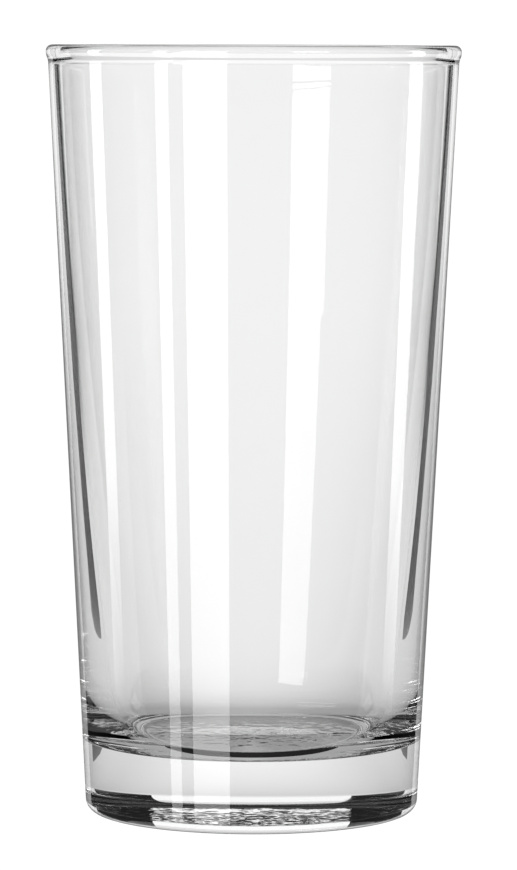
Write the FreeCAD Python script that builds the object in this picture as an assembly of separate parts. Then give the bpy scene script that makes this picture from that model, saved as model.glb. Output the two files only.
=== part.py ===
"""Pint glass: a heavy-based, straight-sided tumbler of clear soda-lime glass.

The glass is pressed and blown from one gob, so the whole object is a single solid of
revolution: a recessed underside on a narrow bearing ring, a rounded heel, a straight flared
wall, a fire-polished rim bead and a bowl with a rounded inside corner.
Lengths are millimetres. The origin is the centre of the bearing plane and +Z is up.
"""
import FreeCAD
import Part
import math
import os

# Outside
HEIGHT = 149.2
RIM_DIAMETER = 80.4          # across the rim bead, the widest place
WALL_TOP_RADIUS = 39.9       # outer wall line carried up to the full height
WALL_FOOT_RADIUS = 32.27     # outer wall line carried down to the bearing plane
HEEL_RADIUS = 2.6            # rounding between the wall and the bearing ring

# Rim bead
BEAD_RADIUS = 1.24
BEAD_NECK = 3.6              # the bead has faded into the wall this far below the top

# Bowl
WALL_THICKNESS = 1.9         # just below the rim bead, measured level
LOW_WALL_THICKNESS = 5.5     # just above the inside corner, measured level
CORNER_TOP = 25.3            # the inside corner starts here
FLOOR_HEIGHT = 13.35         # thickness of the base over the bearing plane
FLOOR_FLAT_RADIUS = 21.2     # flat part of the inside floor

# Underside
BEARING_INNER_RADIUS = 25.3
PUNT_STEP = 0.6              # step from the bearing ring up into the recess
PUNT_RISE = 1.6              # height of the recess at its centre

WALL_SLOPE = (WALL_TOP_RADIUS - WALL_FOOT_RADIUS) / HEIGHT
NECK_HEIGHT = HEIGHT - BEAD_NECK


def point(radius, height):
    """A place on the half section, which lies in the XZ plane."""
    return FreeCAD.Vector(radius, 0, height)


def line(start, end):
    return Part.LineSegment(start, end).toShape()


def arc(start, middle, end):
    return Part.Arc(start, middle, end).toShape()


def outer_radius(height):
    """Radius of the outer wall line at a height."""
    return WALL_FOOT_RADIUS + WALL_SLOPE * height


def underside():
    """Domed recess, its small step and the flat bearing ring, from the axis outwards."""
    crown = point(0, PUNT_RISE)
    recess_edge = point(BEARING_INNER_RADIUS - PUNT_STEP, PUNT_STEP)
    drop = PUNT_RISE - PUNT_STEP
    dome_middle = point(recess_edge.x / 2, PUNT_RISE - drop / 4)
    ring_start = point(BEARING_INNER_RADIUS, 0)
    ring_end = heel()[0]
    return [arc(crown, dome_middle, recess_edge), line(recess_edge, ring_start),
            line(ring_start, ring_end)]


def heel():
    """Start, middle and end of the arc that is tangent to the bearing plane and the wall."""
    wall_angle = math.atan(WALL_SLOPE)
    centre_radius = outer_radius(HEEL_RADIUS) - HEEL_RADIUS / math.cos(wall_angle)
    places = []
    for angle in (-math.pi / 2, -math.pi / 4, -wall_angle):
        places.append(point(centre_radius + HEEL_RADIUS * math.cos(angle),
                            HEEL_RADIUS + HEEL_RADIUS * math.sin(angle)))
    return places


def rim():
    """The bead: a half circle over two short curves that run into the wall faces."""
    centre_radius = RIM_DIAMETER / 2 - BEAD_RADIUS
    centre_height = HEIGHT - BEAD_RADIUS
    outer_side = point(centre_radius + BEAD_RADIUS, centre_height)
    inner_side = point(centre_radius - BEAD_RADIUS, centre_height)
    top = point(centre_radius, HEIGHT)
    outer_neck = point(outer_radius(NECK_HEIGHT), NECK_HEIGHT)
    inner_neck = outer_neck - point(WALL_THICKNESS, 0)
    outer_curve = neck_curve(outer_neck, WALL_SLOPE, outer_side)
    inner_curve = neck_curve(inner_neck, WALL_SLOPE, inner_side)
    return [outer_curve, arc(outer_side, top, inner_side), inner_curve]


def neck_curve(neck, slope, side):
    """A smooth curve that leaves the wall along its slope and meets the bead upright."""
    reach = (side.z - neck.z) / 2
    leave = point(neck.x + slope * reach, neck.z + reach)
    arrive = point(side.x, side.z - reach)
    return bezier([neck, leave, arrive, side])


def bezier(poles):
    curve = Part.BezierCurve()
    curve.setPoles(poles)
    return curve.toShape()


def bowl():
    """Inside face: a wall that thickens steadily downwards, a round corner and a flat floor.

    The wall is a parabola that leaves the rim parallel to the outside of the glass.
    """
    neck = point(outer_radius(NECK_HEIGHT) - WALL_THICKNESS, NECK_HEIGHT)
    corner = point(outer_radius(CORNER_TOP) - LOW_WALL_THICKNESS, CORNER_TOP)
    half_drop = (NECK_HEIGHT - CORNER_TOP) / 2
    wall_pole = neck - point(WALL_SLOPE * half_drop, half_drop)
    floor_edge = point(FLOOR_FLAT_RADIUS, FLOOR_HEIGHT)
    down_wall = corner - wall_pole
    down_wall.normalize()
    corner_pole = corner + down_wall * (CORNER_TOP - FLOOR_HEIGHT) * 0.6
    floor_pole = floor_edge + point((corner.x - FLOOR_FLAT_RADIUS) * 0.6, 0)
    return [bezier([neck, wall_pole, corner]),
            bezier([corner, corner_pole, floor_pole, floor_edge]),
            line(floor_edge, point(0, FLOOR_HEIGHT))]


def half_section():
    heel_start, heel_middle, heel_end = heel()
    wall = line(heel_end, point(outer_radius(NECK_HEIGHT), NECK_HEIGHT))
    axis = line(point(0, FLOOR_HEIGHT), point(0, PUNT_RISE))
    edges = underside() + [arc(heel_start, heel_middle, heel_end), wall]
    edges += rim() + bowl() + [axis]
    return Part.Face(Part.Wire(Part.__sortEdges__(edges)))


def tumbler():
    full_turn = 360
    return half_section().revolve(FreeCAD.Vector(0, 0, 0), FreeCAD.Vector(0, 0, 1), full_turn)


os.makedirs("parts", exist_ok=True)
glass = Part.Solid(tumbler())
glass.exportStep("parts/tumbler.step")
print("tumbler", glass.isValid(), round(glass.Volume / 1000, 1), "ml of glass", glass.BoundBox)
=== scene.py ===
"""A clear pint glass on a white table in a bright studio.

Lengths are in metres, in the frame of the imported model: the glass stands on z = 0 around the
z axis, and the camera looks along +Y.
"""
import math

import bmesh
import bpy
from mathutils import Matrix, Vector, noise


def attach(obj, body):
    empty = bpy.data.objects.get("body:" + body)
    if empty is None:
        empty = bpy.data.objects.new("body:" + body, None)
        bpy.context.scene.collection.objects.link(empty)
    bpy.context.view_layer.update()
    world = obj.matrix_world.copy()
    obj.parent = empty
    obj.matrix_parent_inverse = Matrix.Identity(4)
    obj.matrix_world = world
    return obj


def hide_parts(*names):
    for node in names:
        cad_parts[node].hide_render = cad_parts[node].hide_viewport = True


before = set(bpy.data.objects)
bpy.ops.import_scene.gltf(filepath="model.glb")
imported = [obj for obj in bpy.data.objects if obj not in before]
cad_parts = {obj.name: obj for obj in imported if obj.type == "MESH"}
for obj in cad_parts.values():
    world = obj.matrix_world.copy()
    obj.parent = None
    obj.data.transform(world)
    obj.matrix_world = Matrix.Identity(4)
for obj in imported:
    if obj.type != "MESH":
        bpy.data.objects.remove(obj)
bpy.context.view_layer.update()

MM = 0.001

# ---------------------------------------------------------------- sizes of the glass

HEIGHT = 149.2 * MM
RIM_RADIUS = 40.2 * MM
WALL_TOP_RADIUS = 39.9 * MM      # outer wall, carried on up to the top
WALL_FOOT_RADIUS = 32.27 * MM    # outer wall, carried on down to the table
HEEL_RADIUS = 2.6 * MM
BEAD_RADIUS = 1.24 * MM
BEAD_NECK = 3.6 * MM             # from the top down to where the bead leaves the wall
WALL_THICKNESS = 1.9 * MM        # just under the bead
LOW_WALL_THICKNESS = 5.5 * MM    # where the wall turns into the floor
CORNER_TOP = 25.3 * MM
CORNER_PULL = 0.6                # how square the turn from wall to floor is, from 0 to 1
FLOOR_HEIGHT = 13.35 * MM
FLOOR_FLAT_RADIUS = 21.2 * MM
BEARING_INNER_RADIUS = 25.3 * MM
PUNT_STEP = 0.6 * MM
PUNT_RISE = 1.6 * MM

WALL_SLOPE = (WALL_TOP_RADIUS - WALL_FOOT_RADIUS) / HEIGHT
NECK_HEIGHT = HEIGHT - BEAD_NECK
PUNT_EDGE = BEARING_INNER_RADIUS - PUNT_STEP

# Pressed texture under the base, and the faint rings that the tool leaves in the bowl floor
COARSE_GRAIN = 2.4 * MM
COARSE_RELIEF = 0.16 * MM
FINE_GRAIN = 0.9 * MM
FINE_RELIEF = 0.10 * MM
RELIEF_FADE = 8                  # a high power, so the relief fades only near the edge
RING_RADIUS = 19 * MM            # where the rings are highest
RING_BAND = 5 * MM
RING_SPACING = 1.9 * MM
RING_RELIEF = 0.018 * MM
BOWL_DEPTH = 4 * MM              # the rings lie at least this far in from the outer wall

# Steps of the mesh, round the glass and along each stretch of its outline
SIDES = 360
DOME_POINTS = 60
HEEL_POINTS = 16
WALL_POINTS = 36
NECK_POINTS = 12
BEAD_POINTS = 28
BOWL_POINTS = 56
CORNER_POINTS = 30
FLOOR_POINTS = 24
SHARP_EDGE = math.radians(30)    # edges that turn more than this are shaded sharp

# ---------------------------------------------------------------- outline


def spread(start, end, count):
    """Evenly spaced numbers from start to end."""
    return [start + (end - start) * i / (count - 1) for i in range(count)]


def outer_radius(z):
    return WALL_FOOT_RADIUS + WALL_SLOPE * z


def arc(centre_r, centre_z, radius, start, end, count):
    """Points on a circle, from one angle to another; angle 0 points outwards."""
    return [(centre_r + radius * math.cos(angle), centre_z + radius * math.sin(angle))
            for angle in spread(start, end, count)]


def bezier(handles, count):
    """Points on the Bezier curve of any number of handles."""
    points = []
    for part in spread(0.0, 1.0, count):
        level = [Vector(h) for h in handles]
        while len(level) > 1:
            level = [a.lerp(b, part) for a, b in zip(level, level[1:])]
        points.append((level[0].x, level[0].y))
    return points


def underside():
    """From the axis out over the shallow dome and down its step to the bearing ring."""
    drop = PUNT_RISE - PUNT_STEP
    dome = [(r, PUNT_RISE - drop * (r / PUNT_EDGE) ** 2) for r in spread(0.0, PUNT_EDGE, DOME_POINTS)]
    return dome + [(BEARING_INNER_RADIUS, 0.0)]


def heel():
    """The round between the bearing ring and the outer wall."""
    lean = math.atan(WALL_SLOPE)
    centre = outer_radius(HEEL_RADIUS) - HEEL_RADIUS / math.cos(lean)
    return arc(centre, HEEL_RADIUS, HEEL_RADIUS, -math.pi / 2, -lean, HEEL_POINTS)


def neck_curve(wall_radius, bead_radius):
    """The hollow between a wall and the bead, from the wall upwards."""
    bead_height = HEIGHT - BEAD_RADIUS
    reach = (bead_height - NECK_HEIGHT) / 2
    return bezier([(wall_radius, NECK_HEIGHT),
                   (wall_radius + WALL_SLOPE * reach, NECK_HEIGHT + reach),
                   (bead_radius, bead_height - reach),
                   (bead_radius, bead_height)], NECK_POINTS)


def rim():
    """Up the outside of the bead, over the top and down its inside."""
    bead_centre = RIM_RADIUS - BEAD_RADIUS
    neck_radius = outer_radius(NECK_HEIGHT)
    outside = neck_curve(neck_radius, RIM_RADIUS)
    over = arc(bead_centre, HEIGHT - BEAD_RADIUS, BEAD_RADIUS, 0.0, math.pi, BEAD_POINTS)
    inside = neck_curve(neck_radius - WALL_THICKNESS, bead_centre - BEAD_RADIUS)
    return outside[1:] + over[1:] + inside[::-1][1:]


def bowl():
    """Down the inner wall, which thickens towards the floor, and across to the axis."""
    neck = Vector((outer_radius(NECK_HEIGHT) - WALL_THICKNESS, NECK_HEIGHT))
    corner = Vector((outer_radius(CORNER_TOP) - LOW_WALL_THICKNESS, CORNER_TOP))
    half_drop = (NECK_HEIGHT - CORNER_TOP) / 2
    middle = neck - Vector((WALL_SLOPE * half_drop, half_drop))
    wall = bezier([neck, middle, corner], BOWL_POINTS)
    down_wall = (corner - middle).normalized()
    corner_drop = (CORNER_TOP - FLOOR_HEIGHT) * CORNER_PULL
    floor_edge = Vector((FLOOR_FLAT_RADIUS, FLOOR_HEIGHT))
    floor_reach = (corner.x - FLOOR_FLAT_RADIUS) * CORNER_PULL
    turn = bezier([corner, corner + down_wall * corner_drop,
                   floor_edge + Vector((floor_reach, 0.0)), floor_edge], CORNER_POINTS)
    floor = [(radius, FLOOR_HEIGHT) for radius in spread(FLOOR_FLAT_RADIUS, 0.0, FLOOR_POINTS)]
    return wall[1:] + turn[1:] + floor[1:]


def outline():
    """The whole half section, from the axis underneath to the axis inside."""
    base = underside() + heel()
    wall_foot = base[-1][1]
    wall = [(outer_radius(z), z) for z in spread(wall_foot, NECK_HEIGHT, WALL_POINTS)]
    return base + wall[1:] + rim() + bowl()


# ---------------------------------------------------------------- glass mesh


def revolve(name, section):
    """A closed mesh turned from a section whose first and last points are on the axis."""
    mesh = bmesh.new()
    bottom = mesh.verts.new((0.0, 0.0, section[0][1]))
    rings = []
    for radius, height in section[1:-1]:
        ring = []
        for i in range(SIDES):
            angle = math.tau * i / SIDES
            ring.append(mesh.verts.new((radius * math.cos(angle), radius * math.sin(angle), height)))
        rings.append(ring)
    top = mesh.verts.new((0.0, 0.0, section[-1][1]))
    for i in range(SIDES):
        j = (i + 1) % SIDES
        mesh.faces.new((bottom, rings[0][j], rings[0][i]))
        for low, high in zip(rings, rings[1:]):
            mesh.faces.new((low[i], low[j], high[j], high[i]))
        mesh.faces.new((top, rings[-1][i], rings[-1][j]))
    for face in mesh.faces:
        face.smooth = True
    for edge in mesh.edges:
        edge.smooth = edge.calc_face_angle() < SHARP_EDGE
    data = bpy.data.meshes.new(name)
    mesh.to_mesh(data)
    mesh.free()
    piece = bpy.data.objects.new(name, data)
    bpy.context.scene.collection.objects.link(piece)
    return piece


def lumps(x, y, grain, layer):
    """A fixed pattern of lumps between -1 and 1; each layer has a different pattern."""
    return noise.noise(Vector((x / grain, y / grain, layer)))


def underside_relief(x, y):
    """Height of the pressed texture under the base, down to nothing at the dome's edge."""
    fade = max(0.0, 1.0 - (math.hypot(x, y) / PUNT_EDGE) ** RELIEF_FADE)
    coarse = COARSE_RELIEF * lumps(x, y, COARSE_GRAIN, 3.0)
    fine = FINE_RELIEF * lumps(x, y, FINE_GRAIN, 7.0)
    return fade * (coarse + fine)


def floor_ripple(radius):
    """Height of the faint rings in the bowl floor."""
    swell = math.exp(-((radius - RING_RADIUS) / RING_BAND) ** 2)
    return RING_RELIEF * swell * math.sin(math.tau * radius / RING_SPACING)


def press_texture(piece):
    """Press the texture into the dome under the base, and the rings into the bowl floor."""
    dome_top = PUNT_RISE * 1.1
    for vertex in piece.data.vertices:
        x, y, z = vertex.co
        radius = math.hypot(x, y)
        if z < dome_top and radius < PUNT_EDGE:
            vertex.co.z = z + underside_relief(x, y)
        elif z < CORNER_TOP and radius < outer_radius(z) - BOWL_DEPTH:
            vertex.co.z = z + floor_ripple(radius)


# ---------------------------------------------------------------- node helpers


def new_material(name):
    material = bpy.data.materials.new(name)
    material.use_nodes = True
    material.node_tree.nodes.clear()
    return material


def add_node(tree, kind, **settings):
    node = tree.nodes.new(kind)
    for key, value in settings.items():
        setattr(node, key, value)
    return node


def calculate(tree, operation, first, second=None, third=None):
    """A Math node; each input is a number or another node's socket."""
    node = add_node(tree, "ShaderNodeMath", operation=operation)
    for socket, value in zip(node.inputs, (first, second, third)):
        if isinstance(value, bpy.types.NodeSocket):
            tree.links.new(value, socket)
        elif value is not None:
            socket.default_value = value
    return node.outputs[0]


def opposite(tree, value):
    """One less a socket's value."""
    return calculate(tree, "SUBTRACT", 1.0, value)


def ramp(tree, value, low, high, at_low, at_high, smooth=False):
    """A Map Range node: at_low at low, at_high at high, held beyond both."""
    node = add_node(tree, "ShaderNodeMapRange")
    node.interpolation_type = "SMOOTHSTEP" if smooth else "LINEAR"
    tree.links.new(value, node.inputs["Value"])
    node.inputs["From Min"].default_value = low
    node.inputs["From Max"].default_value = high
    node.inputs["To Min"].default_value = at_low
    node.inputs["To Max"].default_value = at_high
    return node.outputs["Result"]


def object_place(tree):
    """The place on the object, whole and split into its X, Y and Z."""
    place = add_node(tree, "ShaderNodeTexCoord").outputs["Object"]
    split = add_node(tree, "ShaderNodeSeparateXYZ")
    tree.links.new(place, split.inputs[0])
    return place, split.outputs


# ---------------------------------------------------------------- glass material

FROST_FULL = 1.9 * MM            # the underside is frosted up to this height
FROST_END = 2.2 * MM
SCUFF_SCALE = 900.0              # scuffs about a millimetre across
SCUFF_DETAIL = 3.0
SCUFF_START = 0.52               # noise values where a scuff starts and is full
SCUFF_FULL = 0.72
SCUFF_ROUGHNESS = 0.10
CLEAR = (1.0, 1.0, 1.0, 1.0)
SCUFF_COLOUR = (0.90, 0.91, 0.91, 1.0)
GLASS_IOR = 1.52


def clear_glass():
    """Clear pressed glass: a flame-smooth wall, and a frosted, scuffed underside."""
    material = new_material("clear_glass")
    tree = material.node_tree
    output = add_node(tree, "ShaderNodeOutputMaterial")
    shader = add_node(tree, "ShaderNodeBsdfPrincipled")
    tree.links.new(shader.outputs["BSDF"], output.inputs["Surface"])
    shader.inputs["Transmission Weight"].default_value = 1.0
    shader.inputs["IOR"].default_value = GLASS_IOR

    place, axes = object_place(tree)
    underneath = ramp(tree, axes["Z"], FROST_FULL, FROST_END, 1.0, 0.0)
    texture = add_node(tree, "ShaderNodeTexNoise")
    tree.links.new(place, texture.inputs["Vector"])
    texture.inputs["Scale"].default_value = SCUFF_SCALE
    texture.inputs["Detail"].default_value = SCUFF_DETAIL
    scuffs = texture.outputs["Fac"]
    scuffed = ramp(tree, scuffs, SCUFF_START, SCUFF_FULL, 0.0, SCUFF_ROUGHNESS)
    tree.links.new(calculate(tree, "MULTIPLY", underneath, scuffed), shader.inputs["Roughness"])

    tint = add_node(tree, "ShaderNodeMix", data_type="RGBA")
    tint.inputs["A"].default_value = CLEAR
    tint.inputs["B"].default_value = SCUFF_COLOUR
    tree.links.new(calculate(tree, "MULTIPLY", underneath, scuffs), tint.inputs["Factor"])
    tree.links.new(tint.outputs["Result"], shader.inputs["Base Color"])
    return material


# ---------------------------------------------------------------- stage helpers
#
# Light is described here as the renderer follows it: backwards, from the camera into the
# glass and out of it again to the stage.

CARD_POINTS = 40                 # along a curved card


def stage_object(name, vertices, faces, material, camera=False, shine=False, through=False):
    """A stage mesh, and which rays see it: from the camera, off the glass, or out of it."""
    data = bpy.data.meshes.new(name)
    data.from_pydata(vertices, [], faces)
    data.materials.append(material)
    piece = bpy.data.objects.new(name, data)
    bpy.context.scene.collection.objects.link(piece)
    piece.visible_camera = camera
    piece.visible_glossy = shine
    piece.visible_transmission = through
    piece.visible_diffuse = False
    piece.visible_shadow = False
    return piece


def ribbon(name, points, material, **seen):
    """A standing strip through (x, y, bottom, top) points."""
    vertices = []
    for x, y, bottom, top in points:
        vertices += [(x, y, bottom), (x, y, top)]
    faces = [(2 * i, 2 * i + 1, 2 * i + 3, 2 * i + 2) for i in range(len(points) - 1)]
    return stage_object(name, vertices, faces, material, **seen)


def curved_card(name, bearings, heights, radius, material, **seen):
    """A strip round the glass; bearings in degrees, 0 behind it and 90 on its right."""
    bottom, top = heights
    points = []
    for bearing in spread(*bearings, CARD_POINTS):
        turn = math.radians(bearing)
        points.append((radius * math.sin(turn), radius * math.cos(turn), bottom, top))
    return ribbon(name, points, material, **seen)


def glow(name, strength=1.0):
    """An even glow. Returns the material and its emission node."""
    material = new_material(name)
    tree = material.node_tree
    output = add_node(tree, "ShaderNodeOutputMaterial")
    emission = add_node(tree, "ShaderNodeEmission")
    emission.inputs["Strength"].default_value = strength
    tree.links.new(emission.outputs[0], output.inputs["Surface"])
    return material, emission


def reflected(tree):
    """1 for light that the glass has reflected, 0 for light that has only gone through it."""
    path = add_node(tree, "ShaderNodeLightPath")
    turns = calculate(tree, "SUBTRACT", path.outputs["Ray Depth"], path.outputs["Transmission Depth"])
    return calculate(tree, "GREATER_THAN", turns, 0.5)


def been_through(tree):
    """1 for light that has been in the glass, 0 for light that only touched its surface."""
    path = add_node(tree, "ShaderNodeLightPath")
    return calculate(tree, "GREATER_THAN", path.outputs["Transmission Depth"], 0.5)


def never_through(tree):
    return opposite(tree, been_through(tree))


def seen_where(material, emission, shown):
    """Show a glow only to light for which a socket gives 1."""
    tree = material.node_tree
    output = emission.outputs[0].links[0].to_node
    mix = add_node(tree, "ShaderNodeMixShader")
    clear = add_node(tree, "ShaderNodeBsdfTransparent")
    tree.links.new(shown, mix.inputs["Fac"])
    tree.links.new(clear.outputs[0], mix.inputs[1])
    tree.links.new(emission.outputs[0], mix.inputs[2])
    tree.links.new(mix.outputs[0], output.inputs["Surface"])


def glow_for(name, strength, path_test):
    """An even glow, shown only to light whose path passes a test."""
    material, emission = glow(name, strength)
    seen_where(material, emission, path_test(material.node_tree))
    return material


# ---------------------------------------------------------------- table

TABLE_HEIGHT = -0.2 * MM         # just clear of the foot
ROOM_HALF_WIDTH = 30.0
WHITE = 1.05                     # strength of the white room and floor
DARK = 0.035                     # strength of a dark drape, and share left to an unlit table

OPEN_TABLE = 1.04
CONTACT_SHADE = 0.42             # round the foot, full up to the radius
CONTACT_RADIUS = 48 * MM
CONTACT_FADE = 30 * MM
WIDE_SHADE = 0.1                 # fading outwards from the axis
WIDE_FADE = 400 * MM
SIDE_SHADE = 0.22                # beside the glass, where the cards stand
SIDE_SHADE_FULL = 0.45           # |x| over distance where it is full
SIDE_SHADE_NEAR = 0.4            # it fades out between these distances
SIDE_SHADE_FAR = 1.2

# Part of the table is unlit to light that the glass has reflected
UNLIT_FRONT = -20 * MM           # where y is less than this
UNLIT_SLOPE = 1.2                # and where y is less than this times |x|
UNLIT_NEAR = 0.30                # which fades in between these distances
UNLIT_FAR = 0.60


def fading_shade(tree, away, amount, start, distance):
    """Shade that is full up to a distance from the axis, and dies away beyond it."""
    beyond = calculate(tree, "MINIMUM", calculate(tree, "SUBTRACT", start, away), 0.0)
    decay = calculate(tree, "EXPONENT", calculate(tree, "DIVIDE", beyond, distance))
    return calculate(tree, "MULTIPLY", decay, amount)


def lit_table(tree, across, away):
    """Strength of the white table, less its shades."""
    contact = fading_shade(tree, away, CONTACT_SHADE, CONTACT_RADIUS, CONTACT_FADE)
    wide = fading_shade(tree, away, WIDE_SHADE, 0.0, WIDE_FADE)
    shaded = calculate(tree, "SUBTRACT", calculate(tree, "SUBTRACT", OPEN_TABLE, contact), wide)
    aside = calculate(tree, "DIVIDE", across, away)
    beside = ramp(tree, aside, 0.0, SIDE_SHADE_FULL, 0.0, SIDE_SHADE, smooth=True)
    near = ramp(tree, away, SIDE_SHADE_NEAR, SIDE_SHADE_FAR, 1.0, 0.0)
    side_light = opposite(tree, calculate(tree, "MULTIPLY", beside, near))
    return calculate(tree, "MAXIMUM", calculate(tree, "MULTIPLY", shaded, side_light), 0.0)


def unlit_table(tree, y, across, away):
    """1 in front of the glass and far to its sides, 0 on the rest of the table."""
    past_line = calculate(tree, "SUBTRACT", y, calculate(tree, "MULTIPLY", across, UNLIT_SLOPE))
    to_side = calculate(tree, "LESS_THAN", past_line, 0.0)
    far = ramp(tree, away, UNLIT_NEAR, UNLIT_FAR, 0.0, 1.0)
    in_front = calculate(tree, "LESS_THAN", y, UNLIT_FRONT)
    return calculate(tree, "MAXIMUM", in_front, calculate(tree, "MULTIPLY", to_side, far))


def table_glow():
    """White table, partly unlit to light that the glass has reflected."""
    material, emission = glow("table_glow")
    tree = material.node_tree
    place, axes = object_place(tree)
    length = add_node(tree, "ShaderNodeVectorMath", operation="LENGTH")
    tree.links.new(place, length.inputs[0])
    away = length.outputs["Value"]
    across = calculate(tree, "ABSOLUTE", axes["X"])
    unlit = unlit_table(tree, axes["Y"], across, away)
    hidden = calculate(tree, "MULTIPLY", unlit, reflected(tree))
    keep = ramp(tree, hidden, 0.0, 1.0, 1.0, DARK)
    lit = lit_table(tree, across, away)
    tree.links.new(calculate(tree, "MULTIPLY", lit, keep), emission.inputs["Strength"])
    return material


def ground(name, material, **seen):
    """A level sheet under the whole room."""
    half = ROOM_HALF_WIDTH
    corners = [(-half, -half, TABLE_HEIGHT), (half, -half, TABLE_HEIGHT),
               (half, half, TABLE_HEIGHT), (-half, half, TABLE_HEIGHT)]
    return stage_object(name, corners, [(0, 1, 2, 3)], material, **seen)


def floor_and_table():
    """The floor that the camera sees, and the table that is seen through the glass."""
    floor, _ = glow("white_floor", WHITE)
    ground("floor", floor, camera=True)
    ground("table", table_glow(), through=True)


# ---------------------------------------------------------------- black cards

# One row in millimetres: its low rounded end nearest the glass as (x, y, top), and then (x, y)
# outwards at full height.
CARD_CORNER = [(115, 71, 6), (113, 75, 16), (111, 80, 30), (110, 86, 53)]
CARD_LINE = [(109, 91), (109, 99), (113, 119), (137, 156), (168, 218), (227, 335), (280, 455),
             (372, 632), (607, 1163), (1517, 3136)]
CARD_HEIGHT = 0.91
CARD_GLOW = 0.012
CARD_FOOT_GLOW = 0.22            # more at the foot, from the white table
CARD_FOOT_FADE = 8 * MM

GATE_POINTS = 60                 # round each sleeve
GATE_MARGIN = 6                  # degrees left open at each side of a join between quarters
GATES = [("single", 0.3 * MM, (-90, 90)), ("inner", 0.5 * MM, (0, 180)),
         ("outer", 0.7 * MM, (0, 180))]     # gap outside the wall, and where its quarters start


def gates():
    """Clear sleeves close round the glass that count which quarter light leaves it through.

    Light leaving through the left back or right front quarter crosses one sleeve, and through
    the other two quarters it crosses two. Close to a join between quarters it crosses none.
    """
    material = new_material("gate")
    tree = material.node_tree
    output = add_node(tree, "ShaderNodeOutputMaterial")
    clear = add_node(tree, "ShaderNodeBsdfTransparent")
    tree.links.new(clear.outputs[0], output.inputs["Surface"])
    faces = [(2 * i, 2 * i + 1, 2 * i + 3, 2 * i + 2) for i in range(GATE_POINTS - 1)]
    for word, gap, starts in GATES:
        for start in starts:
            vertices = []
            for bearing in spread(start + GATE_MARGIN, start + 90 - GATE_MARGIN, GATE_POINTS):
                turn = math.radians(bearing)
                for height in (0.0, NECK_HEIGHT):
                    radius = outer_radius(height) + gap
                    vertices.append((radius * math.sin(turn), radius * math.cos(turn), height))
            stage_object("gate_%s_%d" % (word, start % 360), vertices, faces, material, through=True)


def black_card_glow():
    """Black card, a little lit at its foot by the white table."""
    material, emission = glow("black_card")
    tree = material.node_tree
    _, axes = object_place(tree)
    falloff = calculate(tree, "EXPONENT", calculate(tree, "DIVIDE", axes["Z"], -CARD_FOOT_FADE))
    strength = calculate(tree, "MULTIPLY_ADD", falloff, CARD_FOOT_GLOW, CARD_GLOW)
    tree.links.new(strength, emission.inputs["Strength"])
    return material, emission


def quarter_card(side, end):
    """Black card shown only to light that left the glass through a quarter next to its own.

    The quarters next to the right back and left front cards have one sleeve, and those next
    to the other two cards have two. The cards in front are also hidden from light that the
    glass has reflected.
    """
    material, emission = black_card_glow()
    tree = material.node_tree
    crossed = add_node(tree, "ShaderNodeLightPath").outputs["Transparent Depth"]
    if side == end:
        shown = calculate(tree, "MODULO", crossed, 2.0)
    else:
        shown = calculate(tree, "GREATER_THAN", crossed, 1.5)
    if end < 0:
        shown = calculate(tree, "MULTIPLY", shown, opposite(tree, reflected(tree)))
    seen_where(material, emission, shown)
    return material


def card_row(side, end):
    """Points along one row; side is 1 on the right, and end is 1 at the back."""
    corner = [(side * x * MM, end * y * MM, 0.0, top * MM) for x, y, top in CARD_CORNER]
    line = [(side * x * MM, end * y * MM, 0.0, CARD_HEIGHT) for x, y in CARD_LINE]
    return corner + line


def black_cards():
    """Rows of black card that run away from the glass, one in each quarter of the table."""
    shine_card, _ = black_card_glow()
    for side, word in ((-1, "left"), (1, "right")):
        ribbon("card_shine_" + word, card_row(side, 1), shine_card, shine=True)
        for end, where in ((1, "back"), (-1, "front")):
            ribbon("card_%s_%s" % (where, word), card_row(side, end), quarter_card(side, end),
                   through=True)


# ---------------------------------------------------------------- drapes and ceiling

BACKDROP_EDGE = 32               # degrees from straight behind
DRAPE_RADIUS = 1.7
DRAPE_HEIGHTS = (-1.5, 3.0)
BACKDROP_DIM = 0.28              # strength straight behind
BACKDROP_DIM_EDGE = 0.24         # |x| over the radius where it starts to get lighter
BACKDROP_LIGHT = 0.9
BACKDROP_LIGHT_EDGE = 0.5
FAR_RADIUS = 3.6                 # past the end of the card rows
INNER_DRAPE_RADIUS = FAR_RADIUS + 0.1
INNER_DRAPE_EDGE = 52            # degrees from straight behind
INNER_DRAPE_HEIGHTS = (-4.0, 8.0)
CEILING_HEIGHT = 1.2
CEILING_RADIUS = 4.6
CEILING_SIDES = 64
CEILING_GLOW = 0.8
CEILING_UNLIT = 0.06             # to light that the glass has reflected


def backdrop_glow():
    """What the outer edge of the glass reflects: dim straight behind, lighter to each side."""
    material, emission = glow("backdrop_shine")
    tree = material.node_tree
    _, axes = object_place(tree)
    aside = calculate(tree, "DIVIDE", calculate(tree, "ABSOLUTE", axes["X"]), DRAPE_RADIUS)
    strength = ramp(tree, aside, BACKDROP_DIM_EDGE, BACKDROP_LIGHT_EDGE, BACKDROP_DIM, BACKDROP_LIGHT)
    tree.links.new(strength, emission.inputs["Strength"])
    return material


def surroundings():
    """Drapes round the glass, seen only in its reflections."""
    drape, _ = glow("drape", DARK)
    curved_card("drape_round", (BACKDROP_EDGE, 360 - BACKDROP_EDGE), DRAPE_HEIGHTS, DRAPE_RADIUS,
                drape, shine=True)
    curved_card("backdrop", (-BACKDROP_EDGE, BACKDROP_EDGE), DRAPE_HEIGHTS, DRAPE_RADIUS,
                backdrop_glow(), shine=True)
    inner_drape = glow_for("inner_drape", DARK, reflected)
    curved_card("drape_inside", (INNER_DRAPE_EDGE, 360 - INNER_DRAPE_EDGE), INNER_DRAPE_HEIGHTS,
                INNER_DRAPE_RADIUS, inner_drape, through=True)


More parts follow.
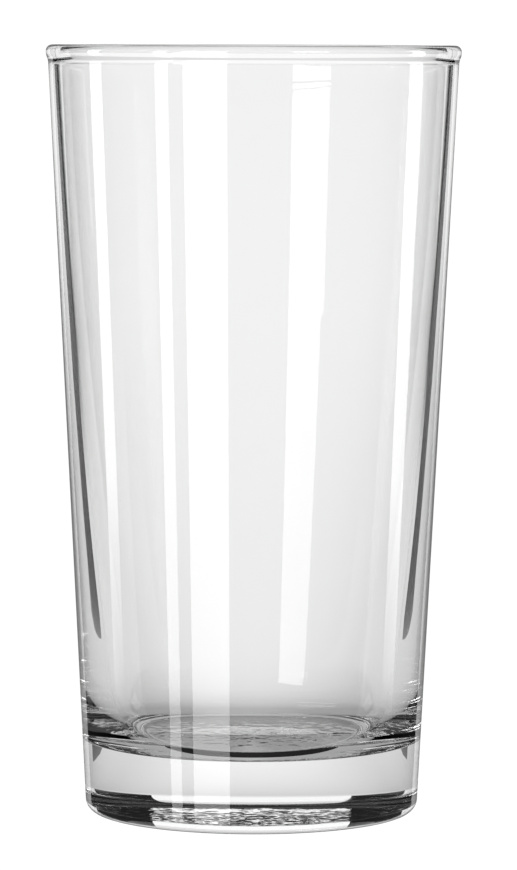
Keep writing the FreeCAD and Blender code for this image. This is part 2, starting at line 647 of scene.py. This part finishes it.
def ceiling():
    """Pale overhead, and nearly black to light that the glass has reflected."""
    material, emission = glow("ceiling")
    tree = material.node_tree
    strength = ramp(tree, reflected(tree), 0.0, 1.0, CEILING_GLOW, CEILING_UNLIT)
    tree.links.new(strength, emission.inputs["Strength"])
    ring = []
    for i in range(CEILING_SIDES):
        turn = math.tau * i / CEILING_SIDES
        ring.append((CEILING_RADIUS * math.cos(turn), CEILING_RADIUS * math.sin(turn), CEILING_HEIGHT))
    stage_object("ceiling", ring, [tuple(range(CEILING_SIDES))], material, shine=True, through=True)


# ---------------------------------------------------------------- soft lights

SOFTBOX = 4.0                    # strength
SOFTBOX_RADIUS = 1.15
OVER_RIM_RADIUS = SOFTBOX_RADIUS - 0.01     # just in front of the key light
KEY_HEIGHTS = (-0.6, 0.6)
SIDE_HEIGHTS = (-0.9, 0.6)
SIDE_FADE_BOTTOM = -0.21         # the side lights fade in between these heights
SIDE_FADE_TOP = -0.11
INNER_KEY_HEIGHTS = (0.03, 1.8)


def side_light_glow():
    """A soft light that fades out towards its foot."""
    material, emission = glow("softbox_side")
    tree = material.node_tree
    _, axes = object_place(tree)
    strength = ramp(tree, axes["Z"], SIDE_FADE_BOTTOM, SIDE_FADE_TOP, 0.0, SOFTBOX)
    tree.links.new(strength, emission.inputs["Strength"])
    return material


def softboxes():
    """Tall soft lights: each one is a strip down the glass.

    The wide key light is three cards at about the same bearing. One is for light reflected by
    the outside of the glass. The other two are for light reflected by its inside, which then
    leaves over the rim or through the wall.
    """
    key = glow_for("softbox_key", SOFTBOX, never_through)
    over_rim = glow_for("softbox_key_over_rim", SOFTBOX, been_through)
    inner_key = glow_for("softbox_key_inside", SOFTBOX, reflected)
    side = side_light_glow()
    curved_card("key_wide", (-165.5, -140.7), KEY_HEIGHTS, SOFTBOX_RADIUS, key, shine=True)
    curved_card("key_over_rim", (-156, -147), KEY_HEIGHTS, OVER_RIM_RADIUS, over_rim, shine=True)
    curved_card("key_thin", (-132, -124), KEY_HEIGHTS, SOFTBOX_RADIUS, key, shine=True)
    curved_card("side_left", (-87, -77), SIDE_HEIGHTS, SOFTBOX_RADIUS, side, shine=True)
    curved_card("side_right", (72, 84), SIDE_HEIGHTS, SOFTBOX_RADIUS, side, shine=True)
    curved_card("key_inside", (-156, -133), INNER_KEY_HEIGHTS, FAR_RADIUS, inner_key, through=True)


def white_room():
    """Even white light from everywhere that no card covers."""
    world = bpy.data.worlds.new("white_room")
    bpy.context.scene.world = world
    world.use_nodes = True
    background = world.node_tree.nodes["Background"]
    background.inputs["Color"].default_value = (1.0, 1.0, 1.0, 1.0)
    background.inputs["Strength"].default_value = WHITE


def studio():
    floor_and_table()
    black_cards()
    gates()
    surroundings()
    ceiling()
    softboxes()
    white_room()


# ---------------------------------------------------------------- camera

CAMERA_PLACE = (0.0, -0.962, 0.15224)
CAMERA_DOWN = 0.0816             # radians below level
CAMERA_RIGHT = 0.0012
CAMERA_ROLL = -0.0033
LENS = 345.5
SENSOR = 36.0
SIGHT = 100.0                    # past the far edge of the floor
BOUNCES = 24
SHINE_BOUNCES = 16


def camera():
    data = bpy.data.cameras.new("camera")
    data.sensor_fit = "HORIZONTAL"
    data.sensor_width = SENSOR
    data.lens = LENS
    data.clip_end = SIGHT
    holder = bpy.data.objects.new("camera", data)
    bpy.context.scene.collection.objects.link(holder)
    turn = Matrix.Rotation(-CAMERA_RIGHT, 4, "Z")
    look = Matrix.Rotation(math.pi / 2 - CAMERA_DOWN, 4, "X")
    roll = Matrix.Rotation(-CAMERA_ROLL, 4, "Z")
    holder.matrix_world = Matrix.Translation(CAMERA_PLACE) @ turn @ look @ roll
    bpy.context.scene.camera = holder


def light_paths():
    """Enough bounces for light to get through both walls and the thick base."""
    scene = bpy.context.scene
    scene.view_settings.view_transform = "Standard"
    scene.cycles.max_bounces = BOUNCES
    scene.cycles.transmission_bounces = BOUNCES
    scene.cycles.glossy_bounces = SHINE_BOUNCES
    scene.cycles.transparent_max_bounces = SHINE_BOUNCES


# ---------------------------------------------------------------- build

glass = revolve("pint_glass", outline())
press_texture(glass)
glass.data.materials.append(clear_glass())
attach(glass, "root")
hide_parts("tumbler")

studio()
camera()
light_paths()
